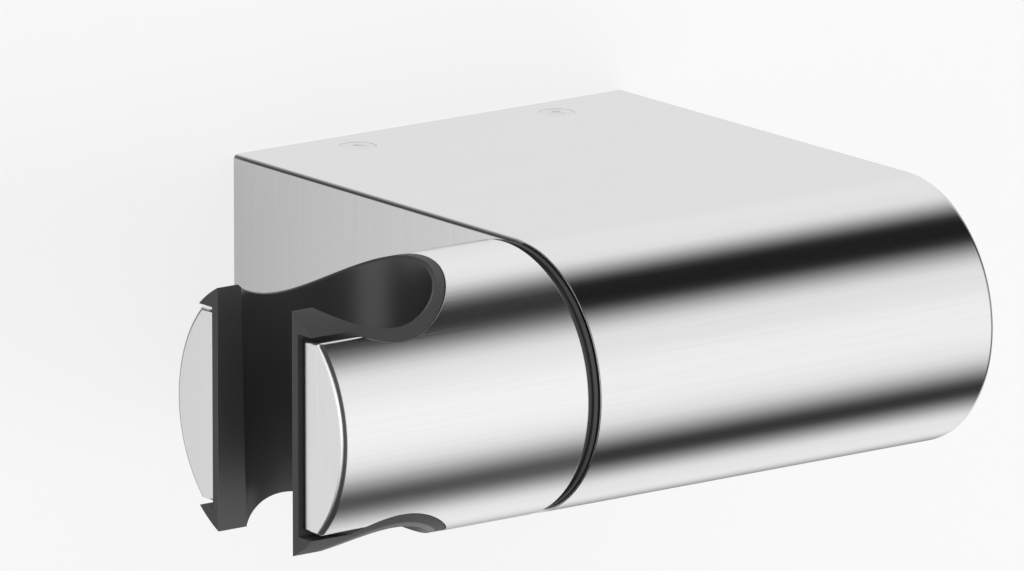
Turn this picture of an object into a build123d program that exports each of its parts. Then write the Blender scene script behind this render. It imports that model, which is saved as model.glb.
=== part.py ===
from build123d import *
import os
from math import sqrt

# Wall holder for a hand shower: a D-shaped metal housing with a tilting barrel on its left end.
# Millimetres. The wall is the plane Y = 0, the front is -Y, up is +Z and X = 0 is mid housing.
# The barrel tilts about an axis along X at Z = 0.

# Overall form
housing_width = 64.8
axis_reach = 61.4  # from the wall to the tilting axis
round_radius = 18.0  # half the housing's height, and the radius of its round front
housing_edge = 0.5  # bevel along the housing's outer edges

# Housing shell
shell_wall = 3.0
pivot_wall = 5.5  # the left wall where the spindle passes it

# Wall plate
plate_clearance = 0.3
plate_side_gap = 6.0  # between the plate's ends and the housing's sides
plate_base = 4.0
plate_flange = 3.5
plate_depth = 12.0
plate_bend = 1.5  # rounding in the channel's two inner corners
plate_corner = 1.2
wall_hole_radius = 2.75
wall_hole_spacing = 32.0

# Set screws
set_screw_radius = 2.5
set_screw_spacing = 33.0
set_screw_from_wall = 6.0
set_screw_sink = 0.15
set_screw_point = 1.9  # length of the conical point
set_screw_point_radius = 0.6
set_screw_bite = 1.2  # how far the point reaches into the wall plate
set_screw_hex = 2.5
set_screw_hex_depth = 1.2
thread_clearance = 0.05

# Barrel and its socket
barrel_step = 0.05  # how much smaller than the housing's round the barrel is
barrel_end_edge = 0.53
barrel_inner_edge = 0.25
joint_gap = 1.8  # between the barrel and the housing
mouth_radius = 12.65  # socket at its upper edge
lead_in = 0.4
bore_taper = 0.6  # how much narrower the bore is at its lower end
rim_width = 1.15
insert_clearance = 0.1
socket_inset = 12.3  # from the barrel's open end to the socket's axis
slot_half_width = 8.0
jaw_wall = 1.2
jaw_clearance = 0.25
jaw_proud = 0.65
flat_height = 12.55  # flats above and below the horns
flange_gap = 0.7  # between a flat and the insert's flange
insert_step = 0.05  # how far the insert's skin lies below the metal
core_thickness = 6.9  # metal between the spindle's head and the barrel's inner end

# Spindle and friction pack
spindle_radius = 4.0
running_clearance = 0.05
head_radius = 6.5
head_height = 4.5
head_sink = 1.6
head_edge = 0.5
head_clearance = 0.1
head_hex = 6.0
head_hex_depth = 3.0
neck_size = 8.0
neck_length = 4.0
flats_size = 6.6
tip_chamfer = 0.8
spindle_tip = 1.5  # how far it stands out of the nut
bush_wall = 2.0
bush_flange_radius = 10.0
washer_radius = 9.0
friction_washer_thickness = 1.5
pressure_washer_thickness = 2.0
spring_radius = 8.5
spring_thickness = 0.9
spring_cone = 0.4
spring_clearance = 0.3
thrust_washer_radius = 8.0
thrust_washer_thickness = 1.6
nut_hex = 13.0
nut_height = 6.5
nut_collar_radius = 6.0
nut_collar_height = 1.8
nylon_radius = 5.2
nylon_height = 1.5

# Gap ring and stop pin
ring_thickness = 1.2
ring_step = 0.7  # how much smaller than the barrel the ring is
ring_fit = 0.05
pin_radius = 1.5
pin_circle = 13.0
pin_depth = 5.0
pin_chamfer = 0.4
groove_depth = 3.0
groove_clearance = 0.3
tilt_limit = 60.0  # degrees each way

# Modelling aids
past = 1.0  # how far a cut runs beyond the material
near = 0.01  # two places closer than this are the same

# Places that follow from these sizes
left_face = -housing_width / 2
inner_radius = round_radius - shell_wall
pivot_face = left_face + pivot_wall
barrel_radius = round_radius - barrel_step
insert_radius = barrel_radius - insert_step
rim_radius = mouth_radius + rim_width
pocket_radius = rim_radius + insert_clearance
jaw_half_width = slot_half_width + jaw_wall
horn_half_gap = jaw_half_width + jaw_clearance
bore_radius = mouth_radius - lead_in
barrel_inner_end = left_face - joint_gap
head_seat = barrel_inner_end - core_thickness
head_face = head_seat - head_height
socket_x = head_face - head_sink - pocket_radius
barrel_open_end = socket_x - socket_inset
jaw_end = barrel_open_end - jaw_proud
flange_underside = flat_height + flange_gap
hole_radius = spindle_radius + running_clearance
bush_flange_face = barrel_inner_end + ring_thickness + running_clearance


def across_x(x):
    """Plane square to the tilting axis, with its origin on that axis."""
    return Plane(origin=(x, -axis_reach, 0), x_dir=(0, 1, 0), z_dir=(1, 0, 0))


def disc(x, thickness, radius, mode=Mode.ADD):
    """Round slab about the tilting axis, from x towards the right."""
    with BuildSketch(across_x(x)) as outline:
        Circle(radius)
    extrude(outline.sketch, amount=thickness, mode=mode)


def d_profile(radius):
    """Side view of the housing: straight from the wall to the axis, half round beyond it."""
    with BuildLine() as outline:
        Line((0, radius), (-axis_reach, radius))
        ThreePointArc((-axis_reach, radius), (-axis_reach - radius, 0), (-axis_reach, -radius))
        Line((-axis_reach, -radius), (0, -radius))
        Line((0, -radius), (0, radius))
    make_face(outline.edges())


def save(piece, name):
    """Labels a finished piece and writes its file."""
    piece.part.label = name
    export_step(piece.part, f"parts/{name}.step")


os.makedirs("parts", exist_ok=True)

# Housing: a shell with an open back and a thicker left wall at the spindle
cavity_half_width = housing_width / 2 - shell_wall
with BuildPart() as cavity:
    with BuildSketch(Plane.YZ.offset(-cavity_half_width)):
        d_profile(inner_radius)
    extrude(amount=2 * cavity_half_width)
pad_start = left_face + shell_wall / 2
stop_groove = CenterArc((0, 0), pin_circle, -tilt_limit, 2 * tilt_limit)
with BuildPart() as housing:
    with BuildSketch(Plane.YZ.offset(left_face)):
        d_profile(round_radius)
    extrude(amount=housing_width)
    ends = housing.edges().filter_by(Plane.YZ)
    chamfer(ends.filter_by(lambda edge: edge.center().Y < -housing_edge), housing_edge)
    add(cavity.part, mode=Mode.SUBTRACT)
    disc(pad_start, pivot_face - pad_start, round_radius - shell_wall / 2)
    disc(left_face, pivot_wall, hole_radius + bush_wall, Mode.SUBTRACT)
    with BuildSketch(across_x(left_face)):
        SlotArc(stop_groove, 2 * (pin_radius + groove_clearance))
    extrude(amount=groove_depth, mode=Mode.SUBTRACT)
    with BuildSketch(Plane.XY.offset(round_radius)):
        with Locations((0, -set_screw_from_wall)):
            with GridLocations(set_screw_spacing, 1, 2, 1):
                Circle(set_screw_radius + thread_clearance)
    extrude(amount=-2 * shell_wall, mode=Mode.SUBTRACT)
save(housing, "housing")

# Wall plate: a channel with two screw holes, and two conical seats for the set screws
plate_half_height = inner_radius - plate_clearance
plate_half_width = cavity_half_width - plate_side_gap
seat_radius = set_screw_point_radius + set_screw_bite + thread_clearance
with BuildPart() as wall_plate:
    with BuildSketch(Plane.YZ.offset(-plate_half_width)):
        with BuildLine():
            Polyline(
                (0, plate_half_height),
                (-plate_depth, plate_half_height),
                (-plate_depth, plate_half_height - plate_flange),
                (-plate_base, plate_half_height - plate_flange),
                (-plate_base, plate_flange - plate_half_height),
                (-plate_depth, plate_flange - plate_half_height),
                (-plate_depth, -plate_half_height),
                (0, -plate_half_height),
                close=True,
            )
        channel = make_face()
        inner = channel.vertices().filter_by(lambda v: abs(v.X + plate_base) < near)
        fillet(inner, plate_bend)
    extrude(amount=2 * plate_half_width)
    corners = wall_plate.edges().filter_by(Axis.Y)
    outside = corners.filter_by(lambda e: abs(abs(e.center().Z) - plate_half_height) < near)
    fillet(outside, plate_corner)
    with BuildSketch(Plane.XZ):
        with GridLocations(wall_hole_spacing, 1, 2, 1):
            Circle(wall_hole_radius)
    extrude(amount=plate_base, mode=Mode.SUBTRACT)
    with Locations((0, -set_screw_from_wall, plate_half_height - set_screw_bite / 2)):
        with GridLocations(set_screw_spacing, 1, 2, 1):
            Cone(set_screw_point_radius, seat_radius, set_screw_bite, mode=Mode.SUBTRACT)
save(wall_plate, "wall_plate")

# Set screws: socket screws whose points bite the wall plate
screw_top = round_radius - set_screw_sink
point_end = plate_half_height - set_screw_bite
for side, name in ((-1, "set_screw_left"), (1, "set_screw_right")):
    screw_x = side * set_screw_spacing / 2
    with BuildPart() as set_screw:
        with BuildSketch(Plane.XZ.offset(set_screw_from_wall)):
            with BuildLine():
                Polyline(
                    (screw_x, point_end),
                    (screw_x + set_screw_point_radius, point_end),
                    (screw_x + set_screw_radius, point_end + set_screw_point),
                    (screw_x + set_screw_radius, screw_top),
                    (screw_x, screw_top),
                    close=True,
                )
            make_face()
        revolve(axis=Axis((screw_x, -set_screw_from_wall, 0), (0, 0, 1)))
        with BuildSketch(Plane(origin=(screw_x, -set_screw_from_wall, screw_top))):
            RegularPolygon(set_screw_hex / 2, 6, major_radius=False)
        extrude(amount=-set_screw_hex_depth, mode=Mode.SUBTRACT)
    save(set_screw, name)

# Bearing bush: a flanged plastic sleeve in the housing's left wall
with BuildPart() as bearing_bush:
    disc(left_face, pivot_wall, hole_radius + bush_wall)
    disc(bush_flange_face, left_face - bush_flange_face, bush_flange_radius)
    disc(bush_flange_face, pivot_face - bush_flange_face, hole_radius, Mode.SUBTRACT)
save(bearing_bush, "bearing_bush")

# Friction washer: plastic, against the inside of the left wall
with BuildPart() as friction_washer:
    disc(pivot_face, friction_washer_thickness, washer_radius)
    disc(pivot_face, friction_washer_thickness, hole_radius, Mode.SUBTRACT)
save(friction_washer, "friction_washer")

# Barrel: round bar with a pocket from top to bottom that is open to the left end
with BuildPart() as barrel:
    disc(barrel_open_end, barrel_inner_end - barrel_open_end, barrel_radius)
    chamfer(barrel.edges().group_by(Axis.X)[-1], barrel_inner_edge)
    with BuildSketch(Plane.XY.offset(-round_radius)):
        with Locations((socket_x, -axis_reach)):
            Circle(pocket_radius)
            Rectangle(socket_inset + past, 2 * horn_half_gap, align=(Align.MAX, Align.CENTER))
    extrude(amount=2 * round_radius, mode=Mode.SUBTRACT)
    for side in (-1, 1):
        with BuildSketch(Plane.XY.offset(side * flat_height)):
            with Locations((socket_x, -axis_reach)):
                Rectangle(socket_inset + past, 2 * round_radius, align=(Align.MAX, Align.CENTER))
        extrude(amount=side * round_radius, mode=Mode.SUBTRACT)
    horn_edges = barrel.edges().group_by(Axis.X)[0].filter_by(GeomType.CIRCLE)
    chamfer(horn_edges, barrel_end_edge)
    disc(socket_x, head_seat - socket_x, head_radius + head_clearance, Mode.SUBTRACT)
    with BuildSketch(across_x(head_seat)):
        Rectangle(neck_size + 2 * head_clearance, neck_size + 2 * head_clearance)
    extrude(amount=neck_length + head_clearance, mode=Mode.SUBTRACT)
    disc(head_seat, core_thickness, spindle_radius + head_clearance, Mode.SUBTRACT)
    with BuildSketch(across_x(barrel_inner_end)):
        with Locations((pin_circle, 0)):
            Circle(pin_radius)
    extrude(amount=-pin_depth, mode=Mode.SUBTRACT)
save(barrel, "barrel")


def is_mouth_edge(edge):
    """True for the upper edge, where the bore comes out of the insert's round skin."""
    point = edge.position_at(0.3)
    from_bore = sqrt((point.X - socket_x) ** 2 + (point.Y + axis_reach) ** 2)
    from_axis = sqrt((point.Y + axis_reach) ** 2 + point.Z ** 2)
    on_edge = from_bore < bore_radius + near and abs(from_axis - insert_radius) < near
    return on_edge and point.Z > 0


# Socket insert: lining of the pocket, with proud jaws and a flange over and under each horn
flange_reach = socket_x - jaw_end
with BuildPart() as socket_insert:
    with BuildSketch(Plane.XY.offset(-round_radius)):
        with Locations((socket_x, -axis_reach)):
            Circle(rim_radius)
            Rectangle(flange_reach, 2 * jaw_half_width, align=(Align.MAX, Align.CENTER))
    extrude(amount=2 * round_radius)
    for side in (-1, 1):
        with BuildSketch(Plane.XY.offset(side * flange_underside)):
            with Locations((socket_x, -axis_reach)):
                Rectangle(flange_reach, 2 * round_radius, align=(Align.MAX, Align.CENTER))
        extrude(amount=side * round_radius)
    disc(jaw_end, socket_x + 2 * rim_radius - jaw_end, insert_radius, Mode.INTERSECT)
    with Locations((socket_x, -axis_reach, 0)):
        Cone(bore_radius - bore_taper, bore_radius, 2 * round_radius, mode=Mode.SUBTRACT)
    chamfer(socket_insert.edges().filter_by(is_mouth_edge), lead_in)
    with BuildSketch(Plane.XY.offset(-round_radius)):
        with Locations((socket_x, -axis_reach)):
            Rectangle(flange_reach + past, 2 * slot_half_width, align=(Align.MAX, Align.CENTER))
    extrude(amount=2 * round_radius, mode=Mode.SUBTRACT)
save(socket_insert, "socket_insert")

# Gap ring: black ring against the barrel's inner end, held by the spindle and the stop pin
with BuildPart() as gap_ring:
    disc(barrel_inner_end, ring_thickness, barrel_radius - ring_step)
    disc(barrel_inner_end, ring_thickness, spindle_radius + head_clearance, Mode.SUBTRACT)
    with BuildSketch(across_x(barrel_inner_end)):
        with Locations((pin_circle, 0)):
            Circle(pin_radius + ring_fit)
    extrude(amount=ring_thickness, mode=Mode.SUBTRACT)
save(gap_ring, "gap_ring")

# Friction pack from left to right, each piece against the one before it
pressure_x = pivot_face + friction_washer_thickness + running_clearance
spring_x = pressure_x + pressure_washer_thickness
thrust_x = spring_x + spring_cone + spring_thickness
nut_x = thrust_x + thrust_washer_thickness
nut_end = nut_x + nut_height + nut_collar_height
spindle_end = nut_end + spindle_tip

# Spindle bolt: socket head, square neck held by the barrel, shank with two flats for the washer
with BuildPart() as spindle_bolt:
    disc(head_face, head_height, head_radius)
    chamfer(spindle_bolt.edges().group_by(Axis.X)[0], head_edge)
    with BuildSketch(across_x(head_seat)):
        Rectangle(neck_size, neck_size)
    extrude(amount=neck_length)
    disc(head_seat, spindle_end - head_seat, spindle_radius)
    chamfer(spindle_bolt.edges().group_by(Axis.X)[-1], tip_chamfer)
    with BuildSketch(across_x(head_face)):
        RegularPolygon(head_hex / 2, 6, major_radius=False)
    extrude(amount=head_hex_depth, mode=Mode.SUBTRACT)
    for side in (-1, 1):
        with BuildSketch(across_x(pressure_x - running_clearance)):
            with Locations((0, side * flats_size / 2)):
                edge = Align.MIN if side > 0 else Align.MAX
                Rectangle(2 * spindle_radius, spindle_radius, align=(Align.CENTER, edge))
        extrude(amount=spindle_end - pressure_x + past, mode=Mode.SUBTRACT)
save(spindle_bolt, "spindle_bolt")

# Stop pin: pressed into the barrel, runs in the housing's curved groove
with BuildPart() as stop_pin:
    with BuildSketch(across_x(barrel_inner_end - pin_depth)):
        with Locations((pin_circle, 0)):
            Circle(pin_radius)
    extrude(amount=pin_depth + joint_gap + groove_depth - groove_clearance)
    chamfer(stop_pin.edges().group_by(Axis.X)[-1], pin_chamfer)
save(stop_pin, "stop_pin")

# Pressure washer: turns with the spindle by its two flats
with BuildPart() as pressure_washer:
    disc(pressure_x, pressure_washer_thickness, washer_radius)
    with BuildSketch(across_x(pressure_x)):
        Circle(hole_radius)
        Rectangle(2 * washer_radius, flats_size + 2 * running_clearance, mode=Mode.INTERSECT)
    extrude(amount=pressure_washer_thickness, mode=Mode.SUBTRACT)
save(pressure_washer, "pressure_washer")

# Disc spring: a shallow cone, its inner rim on the pressure washer
with BuildPart() as disc_spring:
    with BuildSketch(Plane(origin=(0, -axis_reach, 0), z_dir=(0, 0, 1))):
        with BuildLine():
            Polyline(
                (spring_x, spindle_radius + spring_clearance),
                (spring_x + spring_cone, spring_radius),
                (spring_x + spring_cone + spring_thickness, spring_radius),
                (spring_x + spring_thickness, spindle_radius + spring_clearance),
                close=True,
            )
        make_face()
    revolve(axis=Axis((0, -axis_reach, 0), (1, 0, 0)))
save(disc_spring, "disc_spring")

# Thrust washer: plain steel, between the spring's outer rim and the nut
with BuildPart() as thrust_washer:
    disc(thrust_x, thrust_washer_thickness, thrust_washer_radius)
    disc(thrust_x, thrust_washer_thickness, hole_radius, Mode.SUBTRACT)
save(thrust_washer, "thrust_washer")

# Lock nut with its collar, and the nylon ring in the collar
with BuildPart() as lock_nut:
    with BuildSketch(across_x(nut_x)):
        RegularPolygon(nut_hex / 2, 6, major_radius=False)
    extrude(amount=nut_height)
    disc(nut_x + nut_height, nut_collar_height, nut_collar_radius)
    disc(nut_end - nylon_height, nylon_height, nylon_radius, Mode.SUBTRACT)
    disc(nut_x, nut_end - nut_x, spindle_radius, Mode.SUBTRACT)
save(lock_nut, "lock_nut")

with BuildPart() as nut_collar:
    disc(nut_end - nylon_height, nylon_height, nylon_radius)
    disc(nut_end - nylon_height, nylon_height, spindle_radius, Mode.SUBTRACT)
save(nut_collar, "nut_collar")
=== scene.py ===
import math

import bmesh
import bpy
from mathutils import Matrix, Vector


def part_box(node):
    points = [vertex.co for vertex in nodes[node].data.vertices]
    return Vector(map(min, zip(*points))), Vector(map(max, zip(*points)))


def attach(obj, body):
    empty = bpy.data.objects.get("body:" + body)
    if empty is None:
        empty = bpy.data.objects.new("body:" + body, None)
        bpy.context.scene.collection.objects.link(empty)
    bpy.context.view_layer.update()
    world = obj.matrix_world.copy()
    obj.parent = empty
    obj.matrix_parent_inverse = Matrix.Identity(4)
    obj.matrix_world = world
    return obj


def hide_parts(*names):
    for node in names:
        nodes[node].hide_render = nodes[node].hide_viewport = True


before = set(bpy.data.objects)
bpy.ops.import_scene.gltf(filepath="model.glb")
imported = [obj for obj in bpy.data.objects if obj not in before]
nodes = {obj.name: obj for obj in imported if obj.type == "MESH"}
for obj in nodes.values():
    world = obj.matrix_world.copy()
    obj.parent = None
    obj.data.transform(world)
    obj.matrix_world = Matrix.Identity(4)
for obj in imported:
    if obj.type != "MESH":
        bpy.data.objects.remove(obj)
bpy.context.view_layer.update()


# Housing: a D-shaped shell of brushed stainless steel, open at the back where it slips over the wall
# plate. Its left wall is thicker round the spindle and has a bearing hole and a curved groove.
housing_low, housing_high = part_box("housing")
half_width = housing_high.x
round_radius = housing_high.z
axis_y = housing_low.y + round_radius
shell_wall = 0.0030
housing_edge = 0.0008
left_arc_share = 0.17  # how much of that rounding the left end's half round has
left_arc_start = 5  # degrees past the top where it gets that small
pad_radius = 0.0165
pad_end = -0.0269
bearing_hole = 0.00605
groove_radius = 0.0130  # also the circle on which the stop pin stands
groove_half = 0.0018
groove_depth = 0.0030
groove_reach = math.radians(67)
screw_radius = 0.0025
screw_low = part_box("set_screw_right")[0]
set_screw_x = screw_low.x + screw_radius
set_screw_y = screw_low.y + screw_radius
set_screw_hole = screw_radius + 0.00001
overcut = 0.001  # how far a cut starts outside what it cuts
round_steps = 256
groove_steps = 48
hole_steps = 48
edge_steps = 6
sharp_angle = math.radians(25)
smooth_angle = math.radians(24)
near = 1e-5  # places closer than this are the same


def take_only(piece):
    """Selects one piece alone and makes it active."""
    bpy.ops.object.select_all(action="DESELECT")
    bpy.context.view_layer.objects.active = piece
    piece.select_set(True)


def add_shape(kind, name, **place):
    """Adds a primitive with nothing else selected, and puts its place into its mesh."""
    bpy.ops.object.select_all(action="DESELECT")
    getattr(bpy.ops.mesh, f"primitive_{kind}_add")(**place)
    piece = bpy.context.object
    piece.name = piece.data.name = name
    bpy.ops.object.transform_apply(location=True, rotation=True, scale=True)
    return piece


def add_rod(name, x_from, x_to, radius, steps=96, y=axis_y):
    """Adds a round bar along X."""
    return add_shape("cylinder", name, vertices=steps, radius=radius, depth=x_to - x_from,
                     location=((x_from + x_to) / 2, y, 0), rotation=(0, math.pi / 2, 0))


def choose_faces(piece, wanted):
    """Selects, in edit mode, the faces for which wanted is true."""
    bpy.ops.mesh.select_mode(type="FACE")
    bpy.ops.mesh.select_all(action="DESELECT")
    mesh = bmesh.from_edit_mesh(piece.data)
    for face in mesh.faces:
        face.select_set(wanted(face))
    bmesh.update_edit_mesh(piece.data)


def apply_modifier(piece, kind, **settings):
    """Adds one modifier with its settings and applies it."""
    modifier = piece.modifiers.new("work", kind)
    for name, value in settings.items():
        setattr(modifier, name, value)
    take_only(piece)
    bpy.ops.object.modifier_apply(modifier=modifier.name)


def machine(piece, tool, operation="DIFFERENCE"):
    """Cuts a closed shape out of a piece or joins it on, then throws the shape away."""
    apply_modifier(piece, "BOOLEAN", object=tool, operation=operation, solver="EXACT")
    bpy.data.objects.remove(tool)


def round_edges(piece, width, share_of):
    """Rounds the sharp edges of a piece, each by its own share of the width."""
    take_only(piece)
    bpy.ops.object.mode_set(mode="EDIT")
    bpy.ops.mesh.select_all(action="SELECT")
    bpy.ops.mesh.remove_doubles(threshold=near)
    mesh = bmesh.from_edit_mesh(piece.data)
    shares = mesh.edges.layers.float.new("bevel_weight_edge")
    for edge in mesh.edges:
        sharp = edge.is_convex and edge.calc_face_angle(0) > sharp_angle
        edge[shares] = share_of(edge) if sharp else 0.0
    bmesh.update_edit_mesh(piece.data)
    bpy.ops.object.mode_set(mode="OBJECT")
    apply_modifier(piece, "BEVEL", width=width, segments=edge_steps, limit_method="WEIGHT",
                   use_clamp_overlap=False)


def smooth(piece):
    """Shades rounds smooth and keeps flats flat."""
    take_only(piece)
    bpy.ops.object.shade_smooth_by_angle(angle=smooth_angle)
    apply_modifier(piece, "WEIGHTED_NORMAL", keep_sharp=True, weight=100)


def flat_at_end(edge, place):
    """True for an edge that lies in the plane X = place."""
    return all(abs(vertex.co.x - place) < near for vertex in edge.verts)


def on_outline(point):
    """True for a point on the housing's outer round, top or underside."""
    from_axis = math.hypot(point.y - axis_y, point.z)
    return abs((abs(point.z) if point.y > axis_y else from_axis) - round_radius) < near


def facing_wall(face, place):
    """True for a face that looks at the wall from the plane Y = place."""
    return face.normal.y > 0.9 and face.calc_center_median().y > place - near


housing = add_rod("housing_shell", -half_width, half_width, round_radius, round_steps)
bpy.ops.object.mode_set(mode="EDIT")
bpy.ops.mesh.select_all(action="SELECT")
bpy.ops.mesh.bisect(plane_co=(0, axis_y, 0), plane_no=(0, 1, 0), clear_outer=True, use_fill=True)
choose_faces(housing, lambda face: facing_wall(face, axis_y))
bpy.ops.mesh.extrude_region_move(TRANSFORM_OT_translate={"value": (0, -axis_y, 0)})
choose_faces(housing, lambda face: facing_wall(face, 0))
bpy.ops.mesh.delete(type="FACE")
bpy.ops.object.mode_set(mode="OBJECT")
apply_modifier(housing, "SOLIDIFY", thickness=shell_wall, offset=-1, use_even_offset=True)
machine(housing, add_rod("pad", -half_width + shell_wall / 2, pad_end, pad_radius), "UNION")
machine(housing, add_rod("bearing_cut", -half_width - overcut, pad_end + overcut, bearing_hole))

groove = add_shape("plane", "groove_cut", size=1)
bpy.ops.object.mode_set(mode="EDIT")
bpy.ops.mesh.select_all(action="SELECT")
bpy.ops.transform.resize(value=(groove_depth + overcut, 2 * groove_half, 1))
groove_middle = ((groove_depth - overcut) / 2 - half_width, axis_y + groove_radius, 0)
bpy.ops.transform.translate(value=groove_middle)
bpy.ops.transform.rotate(value=-groove_reach, orient_axis="X", center_override=(0, axis_y, 0))
bpy.ops.mesh.spin(steps=groove_steps, angle=2 * groove_reach, center=(0, axis_y, 0), axis=(1, 0, 0))
bpy.ops.mesh.select_all(action="SELECT")
bpy.ops.mesh.normals_make_consistent(inside=False)
bpy.ops.object.mode_set(mode="OBJECT")
machine(housing, groove)

for side in (-1, 1):
    machine(housing, add_shape("cylinder", "screw_cut", vertices=hole_steps, radius=set_screw_hole,
                               depth=2 * shell_wall,
                               location=(side * set_screw_x, set_screw_y, round_radius - overcut)))


def housing_share(edge):
    """The outline's edges are rounded at both ends, less along the left end's half round."""
    points = [vertex.co for vertex in edge.verts]
    at_end = flat_at_end(edge, -half_width) or flat_at_end(edge, half_width)
    at_wall = all(point.y > -near for point in points)
    if at_wall or not at_end or not all(on_outline(point) for point in points):
        return 0.0
    middle = (points[0] + points[1]) / 2
    past_top = math.degrees(math.atan2(axis_y - middle.y, abs(middle.z)))
    if middle.x > 0 or past_top < 0:
        return 1.0
    return 1.0 - (1.0 - left_arc_share) * min(past_top / left_arc_start, 1.0)


round_edges(housing, housing_edge, housing_share)
smooth(housing)


class Shade:
    """One value or colour of the material being made. Sums on it add Math nodes."""
    tree = None

    def __init__(self, socket):
        self.socket = socket

    @classmethod
    def node(cls, kind, settings=None, values=None, outlet=0):
        """Adds a node, sets it up, fills or links its sockets by name or number, gives one outlet."""
        made = cls.tree.nodes.new(kind)
        for name, value in (settings or {}).items():
            setattr(made, name, value)
        for name, value in (values or {}).items():
            if isinstance(value, Shade):
                cls.tree.links.new(value.socket, made.inputs[name])
            else:
                made.inputs[name].default_value = value
        return cls(made.outputs[outlet])

    @staticmethod
    def maths(operation, *values):
        """Adds a Math node."""
        return Shade.node("ShaderNodeMath", {"operation": operation}, dict(enumerate(values)))

    @staticmethod
    def place(outlet, axes="XYZ"):
        """Gives one outlet of Texture Coordinate as a value for each axis."""
        whole = Shade.node("ShaderNodeTexCoord", outlet=outlet)
        return [Shade.node("ShaderNodeSeparateXYZ", None, {0: whole}, axis) for axis in axes]

    def __add__(self, other):
        return Shade.maths("ADD", self, other)

    def __sub__(self, other):
        return Shade.maths("SUBTRACT", self, other)

    def __rsub__(self, other):
        return Shade.maths("SUBTRACT", other, self)

    def __mul__(self, other):
        return Shade.maths("MULTIPLY", self, other)

    def __truediv__(self, other):
        return Shade.maths("DIVIDE", self, other)

    def __neg__(self):
        return Shade.maths("MULTIPLY", self, -1)

    def __abs__(self):
        return Shade.maths("ABSOLUTE", self)

    __radd__ = __add__
    __rmul__ = __mul__


def ramp(value, low, high):
    """Rises smoothly from 0 at low to 1 at high."""
    return Shade.node("ShaderNodeMapRange", {"interpolation_type": "SMOOTHSTEP"},
                      {"Value": value, "From Min": low, "From Max": high})


def blend_colours(share, first, second):
    """Mixes two colours."""
    return Shade.node("ShaderNodeMix", {"data_type": "RGBA"}, {0: share, 6: first, 7: second}, 2)


def grain(scale, detail=2.0):
    """Noise that is stretched by a scale of its own along each axis, from 0 to 1."""
    place = Shade.node("ShaderNodeTexCoord", outlet="Object")
    stretched = Shade.node("ShaderNodeMapping", None, {"Vector": place, "Scale": scale})
    return Shade.node("ShaderNodeTexNoise", None, {"Vector": stretched, "Scale": 1.0, "Detail": detail})


def bump(strength, distance, height):
    """Turns a height into a normal."""
    return Shade.node("ShaderNodeBump", None,
                      {"Strength": strength, "Distance": distance, "Height": height})


def new_material(name):
    """Starts a material and returns it with its Principled shader."""
    material = bpy.data.materials.new(name)
    material.use_nodes = True
    Shade.tree = material.node_tree
    return material, material.node_tree.nodes["Principled BSDF"]


def connect(shader, **links):
    """Links values to a shader's sockets, whose names are given with underscores."""
    for name, value in links.items():
        Shade.tree.links.new(value.socket, shader.inputs[name.replace("_", " ")])


def set_material(piece, material):
    """Makes this the piece's only material."""
    piece.data.materials.clear()
    piece.data.materials.append(material)


def grey(value):
    """A grey with a full alpha."""
    return (value, value, value, 1.0)


def brushed_steel(name, rough, tone):
    """Stainless steel, brushed along X on its rounds and up and down on its ends.

    The rounded rim of an end has a painted dark reflection where it looks at the wall.
    """
    material, shader = new_material(name)
    facing_x, facing_y = Shade.place("Normal", "XY")
    on_end = ramp(abs(facing_x), 0.7, 0.9)
    # Painted reflection: the rim that faces the wall is painted much darker, standing in for a dark
    # line it would mirror.
    painted_wall_rim_shade = ramp(-facing_x, 0.5, 0.7) * ramp(facing_y, 0.08, 0.25)
    along = grain((25, 2600, 2600)) * 0.5 + grain((90, 7000, 7000), 3.0) * 0.5
    upright = grain((2600, 2600, 25)) * 0.5 + grain((7000, 7000, 90), 3.0) * 0.5
    lines = along + on_end * (upright - along)
    shade = blend_colours(ramp(lines, 0.3, 0.7), grey(tone * 0.98), grey(tone * 1.02))
    shade = blend_colours(painted_wall_rim_shade, shade, grey(tone * 0.25))
    connect(shader, Base_Color=shade, Roughness=rough + (lines - 0.5) * 0.06,
            Normal=bump(0.04, 0.00002, lines))
    shader.inputs["Metallic"].default_value = 1.0
    return material


set_material(housing, brushed_steel("brushed_steel_housing", 0.15, 0.74))
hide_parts("housing")
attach(housing, "housing")


# Set screws: two socket screws of bright steel, flush with the top, that grip the wall plate. Each has
# a conical point, a broken upper edge and a shallow hexagon.
screw_seat = screw_low.z
screw_top = round_radius - 0.00002
screw_edge = 0.00003
screw_steps = 64
screw_point_radius = 0.0006
screw_point_length = 0.0019
hexagon_low_radius = 0.0009
hexagon_high_radius = 0.00144
hexagon_height = 0.00016


def plain_metal(name, tone, rough):
    """Turned or rolled metal with faint tool marks."""
    material, shader = new_material(name)
    marks = grain((900, 900, 900), 3.0)
    shade = blend_colours(marks, grey(tone * 0.85), grey(tone * 1.1))
    connect(shader, Base_Color=shade, Roughness=rough + (marks - 0.5) * 0.2)
    shader.inputs["Metallic"].default_value = 1.0
    return material


def screw_share(edge):
    """Only the edges of the upper face are broken."""
    return 1.0 if min(vertex.co.z for vertex in edge.verts) > screw_top - near else 0.0


screw_steel = plain_metal("screw_steel", 0.755, 0.22)
left_screw = add_shape("cylinder", "set_screw_left_body", vertices=screw_steps, radius=screw_radius,
                       depth=screw_top - screw_seat,
                       location=(-set_screw_x, set_screw_y, (screw_top + screw_seat) / 2))
bpy.ops.object.mode_set(mode="EDIT")
choose_faces(left_screw, lambda face: face.normal.z < -0.9)
bpy.ops.transform.translate(value=(0, 0, screw_point_length))
bpy.ops.mesh.extrude_region_move(TRANSFORM_OT_translate={"value": (0, 0, -screw_point_length)})
narrowing = screw_point_radius / screw_radius
bpy.ops.transform.resize(value=(narrowing, narrowing, 1))
bpy.ops.object.mode_set(mode="OBJECT")
machine(left_screw, add_shape("cone", "hexagon", vertices=6, radius1=hexagon_low_radius,
                              radius2=hexagon_high_radius, depth=hexagon_height,
                              location=(-set_screw_x, set_screw_y, screw_top), end_fill_type="NGON"))
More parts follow.
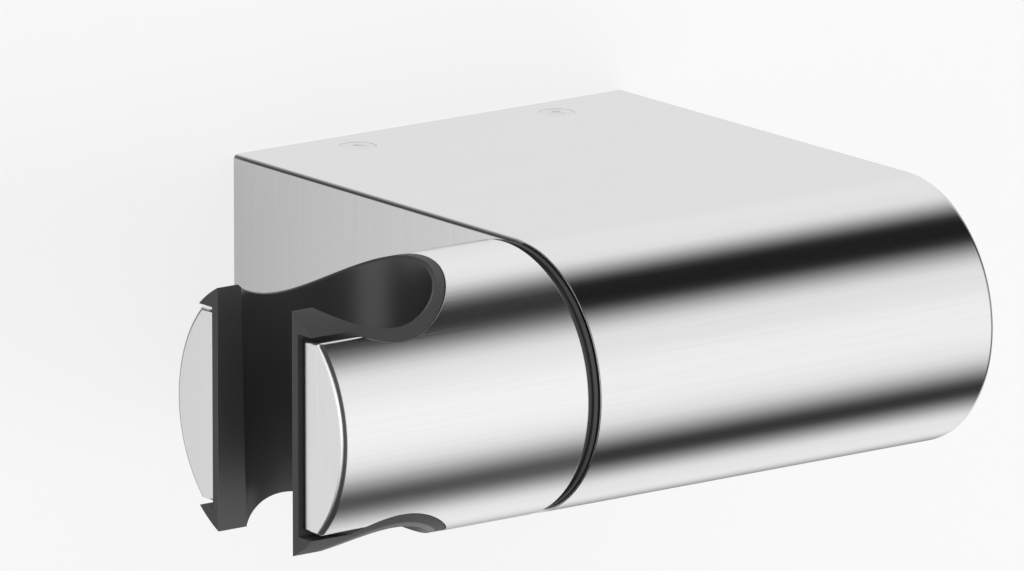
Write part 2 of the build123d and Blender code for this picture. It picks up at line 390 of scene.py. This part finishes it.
round_edges(left_screw, screw_edge, screw_share)
smooth(left_screw)
set_material(left_screw, screw_steel)

take_only(left_screw)
bpy.ops.object.duplicate()
bpy.ops.transform.translate(value=(2 * set_screw_x, 0, 0))
bpy.ops.object.transform_apply(location=True, rotation=True, scale=True)
right_screw = bpy.context.object
right_screw.name = right_screw.data.name = "set_screw_right_body"

for screw, name in ((left_screw, "set_screw_left"), (right_screw, "set_screw_right")):
    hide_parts(name)
    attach(screw, "housing")


# Barrel: a solid bar of stainless steel, of nearly the housing's round and brushed a little coarser,
# with a pocket from top to bottom that is open to its left end, and flats above and below the two
# horns. The spindle's head holds it, and the stop pin is pressed into its inner end.
barrel_low, barrel_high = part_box("barrel")
barrel_radius = barrel_high.z
horn_edge = 0.0008
flat_edge = 0.0004
pocket_edge = 0.00012
barrel_inner_edge = 0.00025
end_to_socket = 0.0123
socket_x = barrel_low.x + end_to_socket
pocket_radius = 0.0139
horn_half_gap = 0.00945
flat_height = 0.01255
outside = 0.02  # further from the axis than any of the barrel
head_radius = 0.0066
head_height = 0.0045
head_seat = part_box("spindle_bolt")[0].x + head_height
neck_half = 0.0041  # half the side of the square recess, also its depth and the bore's radius
pin_y = axis_y + groove_radius
pin_radius = 0.0015
pin_sink = 0.005
pin_steps = 32


def add_block(name, low, high):
    """Adds a box between two corners."""
    low, high = Vector(low), Vector(high)
    return add_shape("cube", name, size=1, location=(low + high) / 2, scale=high - low)


barrel = add_rod("barrel_body", barrel_low.x, barrel_high.x, barrel_radius, round_steps)
machine(barrel, add_shape("cylinder", "pocket_cut", vertices=round_steps, radius=pocket_radius,
                          depth=2 * outside, location=(socket_x, axis_y, 0)))
machine(barrel, add_block("slot_cut", (barrel_low.x - overcut, axis_y - horn_half_gap, -outside),
                          (socket_x, axis_y + horn_half_gap, outside)))
for low_z, high_z in ((flat_height, outside), (-outside, -flat_height)):
    machine(barrel, add_block("flat_cut", (barrel_low.x - overcut, axis_y - outside, low_z),
                              (socket_x, axis_y + outside, high_z)))
machine(barrel, add_rod("head_cut", socket_x, head_seat, head_radius))
machine(barrel, add_block("neck_cut", (head_seat - overcut, axis_y - neck_half, -neck_half),
                          (head_seat + neck_half, axis_y + neck_half, neck_half)))
machine(barrel, add_rod("bore_cut", head_seat - overcut, barrel_high.x + overcut, neck_half))
machine(barrel, add_rod("pin_cut", barrel_high.x - pin_sink, barrel_high.x + overcut, pin_radius,
                        pin_steps, pin_y))


def barrel_share(edge):
    """The horns' ends are rounded most, then their flats, and least the edges of the pocket."""
    points = [vertex.co for vertex in edge.verts]
    on_round = all(abs(math.hypot(point.y - axis_y, point.z) - barrel_radius) < near
                   for point in points)
    on_flat = all(abs(abs(point.z) - flat_height) < near for point in points)
    at_open_end = flat_at_end(edge, barrel_low.x)
    if on_flat:
        return flat_edge / horn_edge if on_round or at_open_end else 0.0
    if at_open_end:
        return 1.0 if on_round else 0.0
    if on_round:
        return (barrel_inner_edge if flat_at_end(edge, barrel_high.x) else pocket_edge) / horn_edge
    return 0.0


round_edges(barrel, horn_edge, barrel_share)
smooth(barrel)
set_material(barrel, brushed_steel("brushed_steel_barrel", 0.235, 0.80))
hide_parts("barrel")
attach(barrel, "barrel")


# Socket insert: satin black plastic lining of the pocket, moulded in one piece, with a rim round the
# mouth, two jaws that stand a little proud of the steel and flanges over and under the horns.
bore_skin = 0.01245  # radius a little inside the plastic round the bore
slot_skin = 0.00805  # half width a little inside the plastic beside the slot


def black_plastic(name, tone):
    """Black plastic with a fine moulded grain, matt outside and smoother in the bore and the slot."""
    material, shader = new_material(name)
    place_x, place_y = Shade.place("Object", "XY")
    along, across = place_x - socket_x, place_y - axis_y
    from_bore = Shade.maths("SQRT", along * along + across * across) - bore_skin
    from_slot = Shade.maths("MAXIMUM", abs(across) - slot_skin, along)
    outer = ramp(Shade.maths("MINIMUM", from_bore, from_slot), -0.00005, 0.00015)
    pits = grain((3500, 3500, 3500), 4.0)
    clouds = grain((160, 160, 160))
    shade = blend_colours(clouds, grey(tone * 0.85), grey(tone * 1.15))
    connect(shader, Base_Color=shade, Roughness=0.36 + outer * 0.22 + (pits - 0.5) * 0.2,
            Normal=bump(0.2, 0.00003, pits))
    shader.inputs["Specular IOR Level"].default_value = 0.75
    return material


insert_plastic = black_plastic("black_plastic_insert", 0.062)
set_material(nodes["socket_insert"], insert_plastic)


# Gap ring: the same black plastic, against the barrel's inner end, with a thin lip that nearly fills
# the gap to the housing. The spindle and the stop pin pass through it.
ring_low, ring_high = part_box("gap_ring")
ring_radius = ring_high.z
ring_edge = 0.0001
lip_radius = ring_radius + 0.0004
lip_end = -half_width - 0.0001
lip_overlap = 0.0002
flange_room = 0.0104
pin_hole = 0.00155

ring = add_rod("ring_body", ring_low.x, ring_high.x, ring_radius, round_steps)
machine(ring, add_rod("lip", ring_high.x - lip_overlap, lip_end, lip_radius, round_steps), "UNION")
machine(ring, add_rod("flange_cut", ring_high.x, lip_end + overcut, flange_room))
machine(ring, add_rod("spindle_cut", ring_low.x - overcut, lip_end + overcut, neck_half))
machine(ring, add_rod("pin_cut", ring_low.x - overcut, lip_end + overcut, pin_hole, pin_steps,
                      pin_y))
round_edges(ring, ring_edge, lambda edge: 1.0)
smooth(ring)
set_material(ring, insert_plastic)
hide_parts("gap_ring")
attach(ring, "barrel")


# Hidden fittings: the wall plate of rolled steel, the turned spindle, stop pin, nut and washers, the
# disc spring, the white plastic bearing and the nut's nylon collar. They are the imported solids.
def plain_plastic(name, colour, rough):
    """Unpainted moulded plastic."""
    material, shader = new_material(name)
    marks = grain((700, 700, 700), 3.0)
    darker = tuple(0.85 * part for part in colour) + (1.0,)
    connect(shader, Base_Color=blend_colours(marks, darker, colour + (1.0,)),
            Roughness=rough + (marks - 0.5) * 0.15)
    return material


set_material(nodes["wall_plate"], plain_metal("rolled_steel", 0.50, 0.38))
turned_steel = plain_metal("turned_steel", 0.62, 0.25)
for name in ("spindle_bolt", "stop_pin", "lock_nut", "pressure_washer", "thrust_washer"):
    set_material(nodes[name], turned_steel)
set_material(nodes["disc_spring"], plain_metal("spring_steel", 0.32, 0.3))
white_plastic = plain_plastic("bearing_plastic", (0.80, 0.79, 0.75), 0.5)
for name in ("bearing_bush", "friction_washer"):
    set_material(nodes[name], white_plastic)
set_material(nodes["nut_collar"], plain_plastic("blue_nylon", (0.18, 0.33, 0.60), 0.45))


# Wall and floor: plain pale planes that show only to the camera and to soft light, so that the steel
# reflects the studio and not them, but for the wall close by the left face. Their backs are clear.
plane_size = 6
wall_y = 0.0004
floor_z = -1.2
wall_share = 0.30
wall_glow = 0.735
mirror_glow = 0.485
mirror_reach = 0.09


def pale_backdrop(name):
    """A pale matt plane that keeps the object's shadow."""
    material, shader = new_material(name)
    seen, mirrored, length = (Shade.node("ShaderNodeLightPath", outlet=outlet)
                              for outlet in ("Is Camera Ray", "Is Glossy Ray", "Ray Length"))
    behind = Shade.node("ShaderNodeNewGeometry", outlet="Backfacing")
    place_x, place_z = Shade.place("Object", "XZ")
    beside_left_face = ramp(-place_x, 0.030, 0.033) * ramp(-place_z, -0.0185, -0.0165)
    close = beside_left_face * (1 - Shade.maths("MINIMUM", length / mirror_reach, 1))
    shader.inputs["Base Color"].default_value = grey(wall_share)
    shader.inputs["Roughness"].default_value = 1.0
    shader.inputs["Specular IOR Level"].default_value = 0.0
    strength = seen * wall_glow + mirrored * mirror_glow
    glow = Shade.node("ShaderNodeEmission", None, {"Strength": strength})
    lit = Shade.node("ShaderNodeAddShader", None, {0: Shade(shader.outputs[0]), 1: glow})
    clear = Shade.node("ShaderNodeBsdfTransparent")
    hidden = Shade.maths("MAXIMUM", mirrored * (1 - close), behind)
    whole = Shade.node("ShaderNodeMixShader", None, {0: hidden, 1: lit, 2: clear})
    connect(Shade.tree.nodes["Material Output"], Surface=whole)
    return material


backdrop = pale_backdrop("pale_backdrop")
wall = add_shape("plane", "wall", size=plane_size, location=(0, wall_y, 0),
                 rotation=(math.pi / 2, 0, 0))
floor = add_shape("plane", "floor", size=plane_size, location=(0, wall_y - plane_size / 2, floor_z))
for plane in (wall, floor):
    set_material(plane, backdrop)


# Studio: an even pale world, in which polished metal sees a large panel in front and one on each side
# with soft dark gaps between them, and one large soft lamp from the lower right.
even_light = 0.7
panel_angle = 95  # degrees round the X axis: 0 is straight up and 90 straight away from the wall
upper_gap_angle = 15.5
lower_gap_angle = 159.2
under_gap_angle = 253.4

world = bpy.data.worlds.new("studio")
bpy.context.scene.world = world
world.use_nodes = True
Shade.tree = world.node_tree
way_x, way_y, way_z = Shade.place("Generated")
angle = Shade.maths("WRAP", Shade.maths("ARCTAN2", -way_y, way_z) * (180 / math.pi), 265, -95)
to_wall = ramp(way_y, 0.45, 0.65)
panel = 1.02 + (1 - ramp(abs(angle - panel_angle), 8, 36)) * 0.135 - ramp(-angle, 45, 75) * 0.11

# The gaps are deepest to the right, where the photo's view sees them in the rounds.
depth = ramp(way_x, 0.02, 0.25) * 0.6 + 0.4
upper_gap = 1 - (1 - ramp(abs(angle - upper_gap_angle), 9, 40)) * depth * 0.99
lower_gap = 1 - (1 - ramp(abs(angle - lower_gap_angle), 2, 37)) * depth * 0.965
under = ramp(abs(angle - under_gap_angle), 8, 40) * ramp(abs(angle - (under_gap_angle - 360)), 4, 24)
under_gap = 1 - (1 - under) * ramp(way_x, 0.1, 0.4) * 0.7

# The rounded edges of the ends mirror these gaps as thin dark lines, and the left face its own panel.
front_depth = (1 - to_wall) * (0.92 - ramp(way_z, 0.90, 0.97) * 0.75)
front_gap = 1 - (1 - ramp(abs(way_x + 0.29), 0.50, 0.69)) * front_depth
rise = Shade.maths("MINIMUM", Shade.maths("MAXIMUM", way_x * 0.78 + 0.54, 0.06), 1)
wall_gap = 1 - to_wall * ramp(way_z, -0.12, 0.10) * (1 - rise)
left_panel = 1 - ramp(-way_x, 0.35, 0.50) * 0.16 + ramp(-way_x, 0.66, 0.82) * 0.66
right_gap = 1 - ramp(way_x, 0.72, 0.90) * 0.6

studio = panel * upper_gap * lower_gap * under_gap * front_gap * wall_gap * left_panel * right_gap
glossy = Shade.node("ShaderNodeLightPath", outlet="Is Glossy Ray")
background = world.node_tree.nodes["Background"]
background.inputs["Color"].default_value = grey(1.0)
connect(background, Strength=even_light + glossy * (studio - even_light))

lamp_place = Vector((0.307, -1.673, -0.409))
lamp_data = bpy.data.lights.new("soft_lamp", "AREA")
lamp_data.shape = "SQUARE"
lamp_data.size = 1.1
lamp_data.energy = 8.0
lamp_data.specular_factor = 0.0
lamp = bpy.data.objects.new("soft_lamp", lamp_data)
bpy.context.scene.collection.objects.link(lamp)
lamp.location = lamp_place
lamp.rotation_euler = lamp_place.to_track_quat("Z", "Y").to_euler()
lamp.visible_glossy = False


# Camera: from the front left and a little above, far away with a long lens, so that the rounds look as
# flat as they do in the photo.
target = Vector((-0.00319, -0.02210, 0.00024))
distance = 2.0375
azimuth = math.radians(-37.2)
elevation = math.radians(13.354)
back = Vector((math.sin(azimuth) * math.cos(elevation), -math.cos(azimuth) * math.cos(elevation),
               math.sin(elevation)))
camera_data = bpy.data.cameras.new("camera")
camera_data.sensor_width = 36.0
camera_data.lens = 543.2
camera_data.clip_end = 20.0
camera = bpy.data.objects.new("camera", camera_data)
bpy.context.scene.collection.objects.link(camera)
camera.location = target + distance * back
camera.rotation_euler = back.to_track_quat("Z", "Y").to_euler()
bpy.context.scene.camera = camera
bpy.context.scene.view_settings.view_transform = "Standard"
